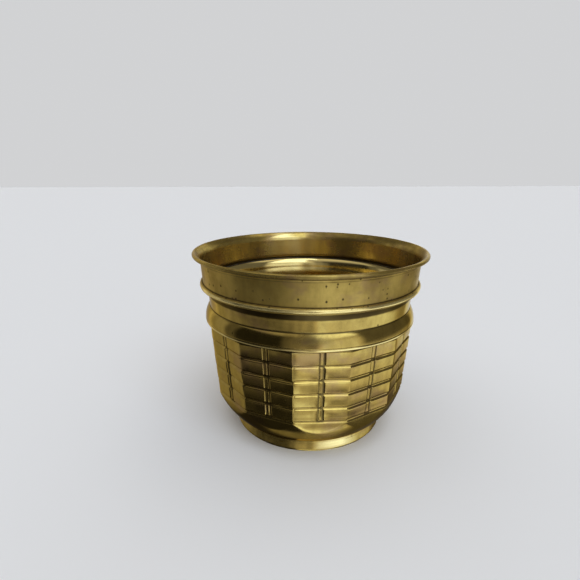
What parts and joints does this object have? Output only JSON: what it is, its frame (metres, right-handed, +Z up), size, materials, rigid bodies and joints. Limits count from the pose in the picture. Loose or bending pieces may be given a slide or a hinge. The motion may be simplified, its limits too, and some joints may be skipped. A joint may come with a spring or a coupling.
{
  "type": "planter pot",
  "caption": "Round sheet-brass planter pot: flat-faceted bowl pressed with a brick pattern, plain neck, upright collar with rolled rim, low foot ring.",
  "frame": {"origin": "centre of the foot ring's underside, on the surface the pot stands on", "axes": "+Z up along the pot's axis; the middle of one facet faces -Y"},
  "size_m": [0.2032, 0.2032, 0.1584],
  "materials": {
    "bowl_brass": "aged, half-polished, mottled patina",
    "collar_brass": "aged satin with small dark pits",
    "foot_brass": "aged, half-polished",
    "wire": "drawn wire",
    "solder": "dull soft solder"
  },
  "bodies": {
    "root": {"body_shell": "bowl_brass", "collar_band": "collar_brass", "foot_ring": "foot_brass", "rim_wire": "wire", "seam_solder": "solder", "foot_solder": "solder"}
  },
  "joints": []
}
